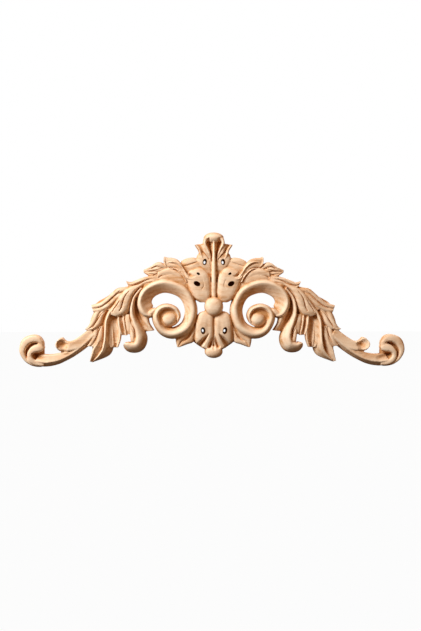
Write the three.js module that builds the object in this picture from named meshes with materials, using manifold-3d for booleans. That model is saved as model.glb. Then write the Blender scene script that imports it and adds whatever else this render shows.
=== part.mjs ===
// A carved wood applique: a low pediment of two C-scrolls, acanthus leaves and long tails, round a boss.
// Millimetres. +Z is up, +X is right, the carving looks along -Y and its flat back lies on Y = 0.
// Everything beside the centre line is drawn for the left half and made a second time, mirrored.
import * as THREE from "three";
import { mergeVertices } from "three/addons/utils/BufferGeometryUtils.js";
import Module from "manifold-3d";

const WIDTH = 600; // from the end of one tail to the end of the other
const THICKNESS = 24; // from the flat back to the top of the centre boss
const GROUND = 8; // thickness of the wood left between the leaves
const OPEN_EYE_LONG = 8.6; // the drilled eyes that go right through, along their longer way
const OPEN_EYE_SHORT = 5.6;
const SUNK_EYE_LONG = 11; // the larger of the two sunk eyes in each lobe above the boss
const SUNK_EYE_SHORT = 7.4;
const SMALL_EYE_LONG = 5.5; // the smaller of the two
const SMALL_EYE_SHORT = 3.7;
const EYE_FLOOR = 4; // wood left between a sunk eye and the back
const BEHIND = 3; // how far each stroke runs on behind the back before the back is planed flat

// The strokes below keep their proportions: they are drawn on a board 600 wide and 24 thick.
const FLAT = WIDTH / 600;
const DEEP = THICKNESS / 24;
const THROUGH = -THICKNESS; // the floor of a hole that comes out behind the back

// Cross sections, from one edge of a strip to the other: [share of the width, share of the height].
const ROLL = [[0, 0.5], [0.25, 0.94], [0.75, 0.94], [1, 0.5]];
const CREST = [[0, 0.62], [0.24, 1], [0.6, 0.7], [1, 0.5]];
const PAIR = [[0, 0.66], [0.25, 1], [0.5, 0.62], [0.75, 1], [1, 0.66]];
const HOLLOW = [[0, 0.85], [0.12, 1], [0.45, 0.5], [1, 0.9]];

const wasm = await Module();
wasm.setup();

// A closed three.js geometry as a manifold solid, with its faces turned out.
function solid(geometry) {
  geometry.deleteAttribute("normal");
  geometry.deleteAttribute("uv");
  const merged = mergeVertices(geometry, 1e-4);
  const vertProperties = merged.getAttribute("position").array;
  const triVerts = new Uint32Array(merged.index.array);
  const made = new wasm.Manifold(new wasm.Mesh({ numProp: 3, vertProperties, triVerts }));
  if (made.volume() > 0) return made;
  for (let i = 0; i < triVerts.length; i += 3) {
    [triVerts[i + 1], triVerts[i + 2]] = [triVerts[i + 2], triVerts[i + 1]];
  }
  return new wasm.Manifold(new wasm.Mesh({ numProp: 3, vertProperties, triVerts }));
}

function spline(points) {
  return new THREE.SplineCurve(points.map(([x, z]) => new THREE.Vector2(x, z)));
}

// The value at a share of the way along a list of evenly spaced values.
function along(values, share) {
  const place = Math.min(share, 0.999999) * (values.length - 1);
  const i = Math.floor(place);
  return values.length < 2 ? values[0] : THREE.MathUtils.lerp(values[i], values[i + 1], place - i);
}

// A strip of carving: a box whose cells are laid between two edge lines and raised to a section.
function strip(lineAt, section, steps, side) {
  const box = new THREE.BoxGeometry(1, 1, 1, section.length - 1, 1, steps);
  const at = box.getAttribute("position");
  for (let i = 0; i < at.count; i++) {
    const cell = Math.round((at.getX(i) + 0.5) * (section.length - 1));
    const share = THREE.MathUtils.clamp(at.getZ(i) + 0.5, 0, 1);
    const { left, right, height } = lineAt(share);
    const place = left.clone().lerp(right, section[cell][0]);
    const top = height * section[cell][1];
    at.setXYZ(i, side * place.x * FLAT, at.getY(i) > 0 ? -top * DEEP : BEHIND, place.y * FLAT);
  }
  return solid(box);
}

// A leaf blade between two edges, each drawn from the stalk to the tip.
function blade(leftEdge, rightEdge, heights, section, steps) {
  const left = spline(leftEdge);
  const right = spline(rightEdge);
  const lineAt = (share) => ({
    left: left.getPointAt(share),
    right: right.getPointAt(share),
    height: along(heights, share),
  });
  return (side) => strip(lineAt, section, steps, side);
}

// A band along a centre line, given as [x, z, width, height] at each of its points.
function band(line, section, steps) {
  const centre = spline(line);
  const widths = line.map((point) => point[2]);
  const heights = line.map((point) => point[3]);
  const lineAt = (share) => {
    const t = centre.getUtoTmapping(share);
    const middle = centre.getPoint(t);
    const way = centre.getTangent(t);
    const across = new THREE.Vector2(-way.y, way.x).multiplyScalar(along(widths, t) / 2);
    return { left: middle.clone().add(across), right: middle.clone().sub(across), height: along(heights, t) };
  };
  return (side) => strip(lineAt, section, steps, side);
}

// A rounded boss: half a ball pressed to an oval, standing on an upright wall.
function boss(x, z, halfWide, halfTall, height, wall, rounds = 16) {
  return (side) => {
    const ball = new THREE.SphereGeometry(1, rounds, rounds / 2);
    const at = ball.getAttribute("position");
    for (let i = 0; i < at.count; i++) {
      const up = at.getY(i);
      const girth = Math.hypot(at.getX(i), at.getZ(i));
      const spread = up > 0 || girth < 1e-6 ? 1 : 1 / girth;
      const front = up > -1e-6 ? -(wall + (height - wall) * up) * DEEP : BEHIND;
      const across = x + at.getX(i) * spread * halfWide;
      const upward = z + at.getZ(i) * spread * halfTall;
      at.setXYZ(i, side * across * FLAT, front, upward * FLAT);
    }
    return solid(ball);
  };
}

// A low flat board with a rounded outline, for the wood that is left between the leaves.
function board(outline) {
  return (side) => {
    const shape = new THREE.Shape(spline([...outline, outline[0]]).getSpacedPoints(outline.length * 2));
    const slab = new THREE.ExtrudeGeometry(shape, { depth: GROUND + BEHIND, bevelEnabled: false });
    slab.rotateX(Math.PI / 2);
    slab.translate(0, BEHIND, 0);
    slab.scale(side * FLAT, 1, FLAT);
    return solid(slab);
  };
}

// An oval hole down into the wood, to a floor at the given distance in front of the back.
function hole(x, z, wide, tall, turn, floor) {
  return (side) => {
    const drill = new THREE.CylinderGeometry(0.5, 0.5, THICKNESS * 2, 12);
    drill.scale(wide, 1, tall);
    drill.rotateY(THREE.MathUtils.degToRad(turn));
    drill.translate(x * FLAT, -floor - THICKNESS, z * FLAT);
    drill.scale(side, 1, 1);
    return solid(drill);
  };
}

// The big scroll: from its hooked end over the top, down beside the boss and round its eye.
const scroll = [
  band(
    [[-91, -9, 11, 17], [-103, -5.5, 22.5, 19], [-108.3, 8, 23.5, 20], [-100, 23.5, 22.5, 21],
     [-78.5, 32.2, 21.5, 21], [-55, 26.8, 20.5, 21], [-41.3, 14, 19.5, 21], [-35, -7, 19.8, 20.5],
     [-42.3, -30.3, 20, 20], [-62, -41, 18.5, 20], [-79, -36, 16.5, 19.5], [-88.5, -18, 15.5, 20],
     [-84.5, -5.8, 12.5, 20], [-73.5, -0.8, 11, 20], [-61, -4, 9, 19], [-54.8, -14, 6, 17],
     [-57, -23, 3, 15]],
    CREST, 36),
  boss(-69, -17, 17, 15, 8, 7, 8),
  boss(-68, -19.5, 13.2, 13, 22, 10, 12),
];

// The tail that runs out from under the leaves and curls over.
const tail = [
  band(
    [[-184, -44, 14, 13], [-199, -60, 14, 13], [-215, -72, 14, 13], [-232, -78.3, 17, 13],
     [-248, -81.3, 20, 13.5], [-264, -82.7, 21.5, 14], [-278, -83, 16, 15], [-289.5, -79.3, 12.5, 16],
     [-295, -68, 10, 17], [-290.5, -55.8, 12, 17], [-280, -50, 13.5, 17], [-270, -50.8, 10.5, 17],
     [-265, -55, 4, 15]],
    CREST, 24),
  // the second turn inside the first, round a sunk middle
  band(
    [[-280, -85, 6, 13], [-286.5, -75, 9, 15], [-282, -64.5, 10.5, 16], [-274, -60.5, 10.5, 16],
     [-266, -62.5, 9.5, 15], [-262.5, -69, 6, 13], [-264, -75, 3, 12]],
    ROLL, 11),
  boss(-273, -73, 11, 9, 9, 6, 8),
  // the leaf along the tail's back, which ends in a curled bud
  band(
    [[-184, -33, 14, 12], [-197, -46, 15, 11], [-212, -57.5, 15, 10], [-224, -61.5, 16, 10],
     [-234, -59.5, 21, 13], [-241, -59, 18.5, 16], [-245.3, -59, 10, 16]],
    HOLLOW, 10),
];

// The stalk beside the scroll, which ends in a curled bud.
const stalk = [
  band(
    [[-112, 28, 5, 17], [-124.5, 9, 7, 17], [-128.5, -8, 8.5, 17], [-124.5, -24, 10, 17],
     [-117.5, -38, 16, 17], [-112.5, -50, 22, 17], [-119, -61, 20, 17], [-130, -62.5, 18, 17],
     [-137, -60.5, 14, 15], [-141, -59.5, 6, 13]],
    ROLL, 18),
  band([[-128.5, -24, 4, 12], [-128, -38, 6, 12], [-127, -48, 7, 12], [-125, -57, 7, 12]], ROLL, 4),
  // the leaf between the stalk and the scroll's hooked end
  blade(
    [[-119, 22], [-124, 4], [-123, -12], [-120, -26], [-119, -38]],
    [[-112, 20], [-108, 2], [-103, -13], [-98.5, -25], [-91, -37]],
    [14, 14, 14, 14, 12], PAIR, 6),
];

// The spray of leaflets that falls outwards from the scroll, from the upper row down.
const spray = [
  board(
    [[-108, 32], [-128, 29], [-148, 26], [-165, 16], [-183, 4], [-181, -14], [-190, -31], [-184, -46],
     [-188, -58], [-185, -78], [-164, -72], [-160, -58], [-146, -56], [-143, -43], [-127, -40],
     [-104, -36], [-108, -16], [-112, 10]]),
  blade(
    [[-98, 46], [-112, 43.5], [-122, 40], [-129, 37.5], [-136, 39]],
    [[-97, 37], [-112, 32], [-120, 28], [-127, 26], [-134, 29.5]],
    [15, 15, 15, 15], PAIR, 5),
  // the long leaflet that ends in a rounded lobe over the lower row
  blade(
    [[-104, 37], [-122, 28], [-135, 19], [-140.5, 8], [-143.5, -2], [-149, -12]],
    [[-104, 33], [-116, 24], [-127, 11], [-131.5, 0], [-134, -7], [-142, -15.5]],
    [17, 17, 18, 18, 18, 15], ROLL, 6),
  blade(
    [[-131, 27], [-146, 14], [-150, 4], [-153.5, -4], [-156, -13]],
    [[-128, 23], [-139, 9], [-143, -2], [-146, -9], [-149, -15.5]],
    [15, 17, 17, 17, 14], ROLL, 5),
  blade(
    [[-147, 8], [-154, 1], [-159, -7], [-161, -10.5]],
    [[-147, 2], [-151, -4], [-153.5, -10], [-155, -14.5]],
    [14, 15, 15, 13], ROLL, 3),
  // the outer leaflets, each with a vein down its middle
  blade(
    [[-131, 30], [-148, 29], [-158, 21.5], [-168, 12.5], [-176, 6.5], [-184, 4], [-190, 2.5]],
    [[-134, 19], [-149, 10], [-158, 1], [-166, -4.5], [-173, -8], [-179, -9.5], [-186, -9.5]],
    [13, 15, 15, 14, 13], PAIR, 6),
  blade(
    [[-176, -2], [-185, -9], [-189, -18], [-192, -26], [-196, -32], [-200, -34.5]],
    [[-164, -2], [-170, -15], [-173, -25], [-179, -32], [-186, -36], [-197, -36.5]],
    [12, 13, 13, 13, 12], PAIR, 5),
  blade(
    [[-186, -32], [-189, -45], [-192, -53], [-197, -61]],
    [[-171, -30], [-171, -45], [-174, -54], [-184, -62.5]],
    [11, 11, 11, 10], PAIR, 4),
  // the lowest leaflet and the rib that runs down onto it
  band(
    [[-153, 3, 6, 15], [-162, -10, 7.5, 16], [-167, -24, 8, 16], [-168.5, -40, 8, 15],
     [-168.5, -54, 7.5, 15], [-171, -66, 6, 14], [-178, -77, 5, 11]],
    ROLL, 8),
  blade(
    [[-172, -42], [-177, -56], [-187, -64], [-189.5, -74], [-192.5, -85]],
    [[-164, -42], [-157.5, -56], [-156.5, -66], [-164, -77], [-188, -87]],
    [9, 11, 11, 11, 10], PAIR, 6),
  // the two inner leaflets, the first one hollow
  blade(
    [[-160, -10], [-163, -26], [-164.5, -42], [-163, -54], [-159.5, -63]],
    [[-147, -12], [-146.5, -26], [-143, -39], [-145, -51], [-148.5, -63]],
    [12, 12, 12, 12, 11], HOLLOW, 5),
  blade(
    [[-149, -12], [-148, -26], [-145, -36], [-143, -45.5]],
    [[-131, -12], [-130, -26], [-129.5, -35], [-130, -43.5]],
    [13, 13, 13, 12], PAIR, 4),
];

// The leaves that lie over the scroll and point outwards.
const crown = [
  board(
    [[-98, 34], [-94, 58], [-78, 66], [-54, 68], [-24, 70], [-19, 58], [-22, 16], [-31, 13], [-38, 20],
     [-46, 30], [-62, 36]]),
  blade(
    [[-42, 33], [-45, 44], [-52, 53], [-62, 59.5], [-74, 61], [-85, 56]],
    [[-46, 29], [-56, 35], [-70, 39], [-80, 41], [-88, 42]],
    [14, 16, 17, 17, 17], PAIR, 8),
  blade(
    [[-72, 60], [-81, 68.5], [-89, 68.5], [-98, 62.5], [-109.5, 57]],
    [[-80, 42], [-90, 42], [-97, 45], [-103, 48.5], [-109, 53]],
    [13, 14, 14, 12], PAIR, 5),
  blade(
    [[-42, 46], [-49, 61], [-54, 71.5], [-60, 76], [-68, 76.5], [-77.5, 77.5]],
    [[-42, 36], [-49, 50], [-57, 58], [-66, 60.5], [-74, 61]],
    [13, 15, 15, 14], PAIR, 5),
  blade(
    [[-18, 65], [-28, 75.5], [-38, 76], [-45, 74], [-51, 70.5]],
    [[-18, 54], [-28, 53], [-35, 51], [-42, 49]],
    [13, 14, 14, 13], PAIR, 4),
  // the swelling lobe beside the stem, which holds the two sunk eyes
  blade(
    [[-42.5, 50], [-43, 42], [-36.5, 26], [-28.5, 12.5], [-20, 6]],
    [[-22, 60], [-12, 53], [-7, 41], [-4.5, 24], [-10, 7]],
    [15, 18, 19, 18, 15], ROLL, 7),
];

// The side leaves of the upright palmette above the boss, each with an open eye.
const palmette = [
  board([[0, 10], [-12, 13], [-18, 44], [-21, 62], [-20, 76], [-22, 90], [-14, 92], [-12, 104], [0, 108]]),
  blade(
    [[-8, 40], [-20, 58], [-28, 69], [-27.5, 76], [-24, 83]],
    [[3, 40], [3, 56], [3, 66], [3, 74], [3, 82]],
    [10, 12, 12, 12], PAIR, 5),
  boss(-14.2, 69.5, 7.2, 10, 15, 9, 10),
  blade(
    [[-14, 66], [-23, 78], [-25.5, 86], [-30, 96.5]],
    [[-3, 70], [-8, 82], [-12, 92], [-14, 98.5]],
    [13, 14, 14, 13], PAIR, 4),
  blade(
    [[-8, 72], [-12.5, 84], [-16, 95], [-16, 105]],
    [[-4, 72], [-6.5, 84], [-9.5, 95], [-9, 105]],
    [13, 15, 17, 17], ROLL, 4),
];

// The shell below the boss: a swelling half with an open eye, which ends in folds, and a side leaf.
const shell = [
  board([[0, -10], [-18, -14], [-25, -28], [-33, -36], [-33, -52], [-22, -62], [-13, -67], [0, -72]]),
  blade(
    [[-13, -6], [-24, -10.5], [-28, -24], [-29, -38], [-30, -52]],
    [[0.2, -8], [0.2, -18], [0.2, -28], [0.2, -42], [-4, -62]],
    [14, 17, 18, 17, 13], ROLL, 6),
  blade(
    [[-27, -40], [-29, -46], [-31, -52.5], [-25, -59]],
    [[-14, -40], [-14, -48], [-15, -56], [-17, -65]],
    [12, 13, 12, 12], ROLL, 3),
  blade(
    [[-14, -42], [-16, -50], [-18, -58], [-18, -65]],
    [[-2, -42], [-3, -52], [-5, -60], [-8, -69]],
    [13, 14, 14, 13], ROLL, 3),
  blade(
    [[-32, -26], [-44, -38], [-54, -45], [-59, -51], [-57, -63]],
    [[-26, -28], [-30, -44], [-32, -55], [-42, -59], [-54, -63.5]],
    [10, 12, 12, 12, 10], PAIR, 5),
];

// What stands on the centre line: the palmette's stem and rolled top, the boss and the drop.
const middle = [
  band([[0, 8, 8, 17], [0, 40, 7.5, 18], [0, 70, 6, 18], [0, 101, 4.5, 17]], ROLL, 3),
  boss(0, 105, 15.5, 10.5, 19, 8, 12),
  boss(0, 0, 14.4, 14.8, 24, 10, 16),
  boss(0, -70, 13.5, 11, 17, 7, 12),
];

const eyes = [
  hole(-14.2, 69.2, OPEN_EYE_SHORT, OPEN_EYE_LONG, 8, THROUGH),
  hole(-17, -37.5, OPEN_EYE_SHORT, OPEN_EYE_LONG, -8, THROUGH),
  hole(-26.5, 35.5, SUNK_EYE_LONG, SUNK_EYE_SHORT, 27, EYE_FLOOR),
  hole(-24.5, 51, SMALL_EYE_LONG, SMALL_EYE_SHORT, 27, EYE_FLOOR),
];

// The block behind the board: taking it away leaves the back flat.
function behindTheBack() {
  const block = new THREE.BoxGeometry(WIDTH * 1.2, BEHIND * 2, WIDTH);
  block.translate(0, BEHIND, 0);
  return solid(block);
}

function carve() {
  const beside = [...scroll, ...tail, ...stalk, ...spray, ...crown, ...palmette, ...shell];
  const pairs = (makers) => makers.flatMap((make) => [make(1), make(-1)]);
  const raised = wasm.Manifold.union([...pairs(beside), ...middle.map((make) => make(1))]);
  return raised.subtract(wasm.Manifold.union(pairs(eyes))).subtract(behindTheBack());
}

function meshOf(made) {
  const { vertProperties, triVerts } = made.getMesh();
  const geometry = new THREE.BufferGeometry();
  geometry.setAttribute("position", new THREE.BufferAttribute(vertProperties, 3));
  geometry.setIndex(new THREE.BufferAttribute(triVerts, 1));
  geometry.computeVertexNormals();
  const wood = new THREE.MeshStandardMaterial({ color: 0xd0a27b, roughness: 0.6, metalness: 0 });
  return new THREE.Mesh(geometry, wood);
}

const applique = meshOf(carve());
applique.name = "carved_applique";

const part = new THREE.Group();
part.add(applique);
export default part;
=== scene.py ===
# %% [markdown]
# # A carved wood applique
#
# An applique is a carving that is glued onto a door, a frieze or a headboard. This one is cut from a
# single light board: two big C-scrolls and their leaves climb towards an upright palmette, and two long
# tails curl away to the sides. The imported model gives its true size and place, so the lesson starts by
# loading that model as a fixed frame and keeping its box, which the finished carving must stay inside.

# %% Load the frame
import math

import bmesh
import bpy
import numpy as np
from mathutils import Matrix, Vector


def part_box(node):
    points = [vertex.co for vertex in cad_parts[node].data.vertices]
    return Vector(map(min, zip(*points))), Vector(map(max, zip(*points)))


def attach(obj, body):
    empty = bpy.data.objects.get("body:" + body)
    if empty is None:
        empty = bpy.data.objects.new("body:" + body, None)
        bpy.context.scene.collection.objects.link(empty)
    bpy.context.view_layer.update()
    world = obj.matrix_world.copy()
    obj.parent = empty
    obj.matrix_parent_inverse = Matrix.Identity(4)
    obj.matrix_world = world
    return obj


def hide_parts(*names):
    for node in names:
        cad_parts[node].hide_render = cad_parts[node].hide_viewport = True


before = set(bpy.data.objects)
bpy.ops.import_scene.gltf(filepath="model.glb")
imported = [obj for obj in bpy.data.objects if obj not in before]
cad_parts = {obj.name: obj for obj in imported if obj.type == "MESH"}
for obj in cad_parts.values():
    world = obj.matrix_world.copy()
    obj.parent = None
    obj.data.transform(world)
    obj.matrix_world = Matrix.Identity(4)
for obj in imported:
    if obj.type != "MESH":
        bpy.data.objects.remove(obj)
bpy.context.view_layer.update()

NODE = "carved_applique"
cad_low, cad_high = (Vector(corner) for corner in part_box(NODE))
WIDTH = cad_high.x - cad_low.x
THICKNESS = -cad_low.y
print(f"frame: {WIDTH:.4f} m wide, {cad_high.z - cad_low.z:.4f} m high, {THICKNESS:.4f} m thick")

# %% [markdown]
# ## Camera
#
# The photograph looks straight at the carving, so the camera stands in front of it, level with its
# middle. The left half shows a little larger than the right half, which means that the camera stands a
# few degrees to the left. A long lens keeps the carving nearly free of perspective. It is worked out
# from the carving's width, at the depth where its outline lies, and a small shift puts the middle of the
# carving where the photograph has it.

# %% Camera
IMAGE_WIDTH = 421
IMAGE_HEIGHT = 631
LEFT_PIXEL = 19
RIGHT_PIXEL = 404
MIDDLE_PIXEL = 213.5
ORIGIN_PIXEL_FROM_TOP = 306.7
CAMERA_YAW = math.radians(-3.0)
CAMERA_DISTANCE = 1.5
OUTLINE_DEPTH = 0.008
SENSOR_HEIGHT = 24.0

scene = bpy.context.scene
scene.view_settings.view_transform = "Standard"
metres_per_pixel = WIDTH / (RIGHT_PIXEL - LEFT_PIXEL)
camera_data = bpy.data.cameras.new("photo_camera")
camera_data.sensor_fit = "VERTICAL"
camera_data.sensor_height = SENSOR_HEIGHT
outline_distance = CAMERA_DISTANCE - OUTLINE_DEPTH
camera_data.lens = SENSOR_HEIGHT * outline_distance / (IMAGE_HEIGHT * metres_per_pixel)
camera_data.shift_x = (IMAGE_WIDTH / 2 - MIDDLE_PIXEL) / IMAGE_HEIGHT
camera_data.shift_y = (ORIGIN_PIXEL_FROM_TOP - IMAGE_HEIGHT / 2) / IMAGE_HEIGHT
camera = bpy.data.objects.new("photo_camera", camera_data)
camera.location = (CAMERA_DISTANCE * math.sin(CAMERA_YAW), -CAMERA_DISTANCE * math.cos(CAMERA_YAW), 0.0)
camera.rotation_euler = (math.pi / 2, 0.0, CAMERA_YAW)
scene.collection.objects.link(camera)
scene.camera = camera
print(f"camera: {camera_data.lens:.1f} mm lens, {metres_per_pixel * 1000:.3f} mm a pixel")

# %% [markdown]
# ## A pale floor
#
# The photograph has a plain white background, and the carving hangs over a wide floor that shows nearly
# as white. A white floor would throw light up into the hollows, which are brown in the photograph. So
# the Light Path node shows the camera a floor that glows, and every other ray meets dark, warm paint.

# %% Floor
FLOOR_GAP = 0.05
FLOOR_SIZE = 8.0
FLOOR_GLOW = 0.97
FLOOR_PAINT = (0.06, 0.05, 0.04)
FLOOR_ROUGHNESS = 0.9


def floor_paint():
    """Dark, warm paint that shows nearly white to the camera alone."""
    material = bpy.data.materials.new("floor_white")
    material.use_nodes = True
    nodes = material.node_tree.nodes
    links = material.node_tree.links
    paint = nodes["Principled BSDF"]
    paint.inputs["Base Color"].default_value = (*FLOOR_PAINT, 1.0)
    paint.inputs["Roughness"].default_value = FLOOR_ROUGHNESS
    glow = nodes.new("ShaderNodeEmission")
    path = nodes.new("ShaderNodeLightPath")
    share = nodes.new("ShaderNodeMath")
    share.operation = "MULTIPLY"
    share.inputs[1].default_value = FLOOR_GLOW
    mix = nodes.new("ShaderNodeMixShader")
    links.new(path.outputs["Is Camera Ray"], share.inputs[0])
    links.new(share.outputs[0], mix.inputs[0])
    links.new(paint.outputs[0], mix.inputs[1])
    links.new(glow.outputs[0], mix.inputs[2])
    links.new(mix.outputs[0], nodes["Material Output"].inputs["Surface"])
    return material


floor_shape = bmesh.new()
bmesh.ops.create_grid(floor_shape, x_segments=1, y_segments=1, size=FLOOR_SIZE / 2)
bmesh.ops.translate(floor_shape, verts=floor_shape.verts, vec=(0.0, 0.0, cad_low.z - FLOOR_GAP))
floor_mesh = bpy.data.meshes.new("floor")
floor_shape.to_mesh(floor_mesh)
floor_shape.free()
floor = bpy.data.objects.new("floor", floor_mesh)
floor.data.materials.append(floor_paint())
scene.collection.objects.link(floor)
print(f"floor: {cad_low.z - FLOOR_GAP:.4f} m")

# %% [markdown]
# ## Soft light
#
# A white world gives the white background, but a world as strong as that would light every hollow, so
# the camera alone sees it white, and the carving gets a weaker light. That light is warm, because the
# shades in the photograph are brown rather than grey. One soft lamp, faintly blue as daylight is, stands
# at the upper left: in the photograph the slopes that face left and up are light, and those that face
# right and down are brown. A second lamp stands behind, so that the flat back can be seen too.

# %% World and lamps
FILL_COLOUR = (1.0, 0.51, 0.165)
FILL_STRENGTH = 0.41
DAYLIGHT = (0.86, 0.945, 1.0)
KEY_POWER = 54.0
KEY_SIZE = 0.6
KEY_PLACE = (-1.2, -0.95, 1.0)
BACK_POWER = 22.0
BACK_SIZE = 1.0
BACK_PLACE = (0.8, 1.3, 0.9)

world = bpy.data.worlds.new("white_studio")
world.use_nodes = True
world_nodes = world.node_tree.nodes
seen = world_nodes["Background"]
seen.inputs["Color"].default_value = (1.0, 1.0, 1.0, 1.0)
soft = world_nodes.new("ShaderNodeBackground")
soft.inputs["Color"].default_value = (*FILL_COLOUR, 1.0)
soft.inputs["Strength"].default_value = FILL_STRENGTH
world_path = world_nodes.new("ShaderNodeLightPath")
world_mix = world_nodes.new("ShaderNodeMixShader")
world.node_tree.links.new(world_path.outputs["Is Camera Ray"], world_mix.inputs[0])
world.node_tree.links.new(soft.outputs[0], world_mix.inputs[1])
world.node_tree.links.new(seen.outputs[0], world_mix.inputs[2])
world.node_tree.links.new(world_mix.outputs[0], world_nodes["World Output"].inputs["Surface"])
scene.world = world


def soft_lamp(name, place, size, power):
    """A square lamp that points at the middle of the carving."""
    light = bpy.data.lights.new(name, "AREA")
    light.shape = "SQUARE"
    light.size = size
    light.energy = power
    light.color = DAYLIGHT
    lamp = bpy.data.objects.new(name, light)
    lamp.location = place
    lamp.rotation_euler = (-Vector(place)).to_track_quat("-Z", "Y").to_euler()
    scene.collection.objects.link(lamp)


soft_lamp("key_lamp", KEY_PLACE, KEY_SIZE, KEY_POWER)
soft_lamp("back_lamp", BACK_PLACE, BACK_SIZE, BACK_POWER)

# %% [markdown]
# ## How a carver's stroke becomes a mesh
#
# A carver cuts each leaf and scroll as one long stroke of a gouge, with the same cross section from its
# root to its tip. The same can be done with a flat grid from `bmesh.ops.create_grid`: its rows are laid
# across the stroke, its columns along it, and each row is raised to the cross section. The grid is then
# extruded backwards, so that every stroke is a closed solid.
#
# All places are millimetres on a drawing of the carving, which is 600 wide and 24 thick, and they are
# scaled to the frame. The left half is drawn: x is 0 on the middle line and less than 0 to the left, and
# z is 0 at the centre boss and grows upwards. Heights are measured from the flat back.
#
# A cross section is a list of pairs. The first number runs from 0 at the stroke's first edge to 1 at its
# other edge, and the second is the share of the stroke's full height there. A stroke may begin with one
# section and go over into another on its way to the tip.

# %% Cross sections
DRAWN_WIDTH = 600.0
DRAWN_THICKNESS = 24.0
MM_ACROSS = WIDTH / DRAWN_WIDTH
MM_DEEP = THICKNESS / DRAWN_THICKNESS
BEHIND = 3.0  # Each stroke reaches this far behind the board, until the back is planed flat.
ROW_GAP = 1.2

SECTIONS = {
    "roll": [[0, .66], [.05, .82], [.12, .92], [.25, .985], [.5, 1], [.75, .985], [.88, .92], [.95, .82],
             [1, .66]],
    "round": [[0, .16], [.03, .36], [.08, .55], [.14, .70], [.22, .83], [.34, .95], [.5, 1], [.66, .95],
              [.78, .83], [.86, .70], [.92, .55], [.97, .36], [1, .16]],
    "crest": [[0, .44], [.05, .70], [.10, .87], [.17, .97], [.23, 1], [.29, .98], [.38, .88], [.5, .75],
              [.64, .64], [.78, .56], [.9, .51], [1, .44]],
    "coil": [[0, .40], [.05, .58], [.12, .75], [.22, .90], [.34, .98], [.44, 1], [.54, .97], [.68, .83],
             [.82, .64], [.92, .50], [1, .42]],
    "bevel": [[0, .16], [.03, .28], [.31, .91], [.345, .98], [.38, 1], [.6, .93], [.85, .87], [.95, .82],
              [1, .62]],
    "plane": [[0, .97], [.3, .96], [.7, .97], [.90, .95], [.97, .86], [1, .66]],
    "face": [[0, .66], [.03, .82], [.08, .93], [.15, .99], [.22, 1], [.5, .97], [.8, .98], [.92, .96],
             [.97, .88], [1, .66]],
    "pair": [[0, .66], [.04, .82], [.10, .92], [.20, .98], [.29, 1], [.38, .98], [.45, .93], [.485, .80],
             [.515, .80], [.55, .93], [.62, .98], [.71, 1], [.80, .98], [.90, .92], [.96, .82], [1, .66]],
    "lobe": [[0, .66], [.05, .88], [.11, 1], [.17, .98], [.28, .85], [.38, .76], [.45, .73], [.51, .90],
             [.58, .98], [.68, 1], [.82, .98], [.93, .90], [1, .66]],
    "fall": [[0, .62], [.05, .88], [.10, 1], [.16, .99], [.35, .82], [.6, .62], [.8, .52], [1, .60]],
    "rise": [[0, .74], [.10, .72], [.3, .62], [.55, .45], [.70, .38], [.80, .62], [.87, .94], [.92, 1],
             [.96, .90], [1, .60]],
    "swell": [[0, .16], [.05, .34], [.12, .50], [.25, .70], [.4, .86], [.55, .96], [.7, 1], [.82, .95],
              [.9, .82], [.96, .60], [1, .30]],
    "slope": [[0, .84], [.06, .96], [.11, 1], [.20, .93], [.5, .63], [.8, .36], [1, .18]],
    "cup": [[0, .66], [.05, .86], [.12, 1], [.20, .99], [.34, .78], [.5, .66], [.66, .76], [.80, .98],
            [.87, 1], [.94, .88], [1, .66]],
    "lap": [[0, .50], [.15, .42], [.3, .48], [.45, .68], [.62, .93], [.75, 1], [.86, .97], [.95, .80],
            [1, .50]],
}
print("sections:", ", ".join(SECTIONS))

# %% [markdown]
# ## Smooth lines
#
# A carved edge flows through a few points. The curve used here passes through every one of them, unlike
# a curve with handles, so a place that was read off the photograph stays where it is. The width and the
# height of a stroke are further columns of the same list, and are smoothed with it. Rows of the grid are
# then spaced by length, so that they don't crowd where the points lie close together.

# %% Smooth lines
STEPS_A_POINT = 40
LEAST_ROWS = 4


def smooth_line(points, shares):
    """Places on a smooth curve through a list of points, for shares of its whole course."""
    points = np.array(points, dtype=float)
    spans = len(points) - 1
    place = np.clip(np.asarray(shares, dtype=float), 0.0, 1.0) * spans
    first = np.minimum(place.astype(int), spans - 1)
    w = (place - first)[:, None]
    before = points[np.maximum(first - 1, 0)]
    start = points[first]
    end = points[first + 1]
    after = points[np.minimum(first + 2, spans)]
    return 0.5 * (2 * start + (end - before) * w + (2 * before - 5 * start + 4 * end - after) * w**2
                  + (3 * start - before - 3 * end + after) * w**3)


def even_shares(points, gap):
    """Shares of a line's course that lie about a gap apart along its length."""
    fine = np.linspace(0.0, 1.0, STEPS_A_POINT * len(points))
    line = smooth_line(points, fine)[:, :2]
    run = np.concatenate([[0.0], np.cumsum(np.hypot(*np.diff(line, axis=0).T))])
    count = max(LEAST_ROWS, round(run[-1] / gap))
    return np.interp(np.linspace(0.0, run[-1], count + 1), run, fine)


print("rows along a 60 mm line:", len(even_shares([[0, 0], [60, 0]], ROW_GAP)))

# %% [markdown]
# ## Strokes
#
# Two kinds of stroke make nearly the whole carving. A band follows a centre line, with a width and a
# height at each point, which suits scrolls and stalks. A blade lies between two edges, which suits
# leaves, because their two sides differ. Both become the same grid between two rows of points.

# %% Strokes
LEAST_COLUMNS = 10
SECTION_CHANGE = 1.7  # A stroke reaches its second section after 1 / 1.7 of its course.
STEP_AHEAD = 0.002

carving = bmesh.new()
stroke_mesh = bpy.data.meshes.new("stroke")


def keep(stroke, faces):
    """Extrude the front of a stroke back past the board's back, and add it to the carving."""
    made = bmesh.ops.extrude_face_region(stroke, geom=faces)["geom"]
    for thing in made:
        if isinstance(thing, bmesh.types.BMVert):
            thing.co.y = BEHIND
    stroke.to_mesh(stroke_mesh)
    carving.from_mesh(stroke_mesh)
    stroke.free()


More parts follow.
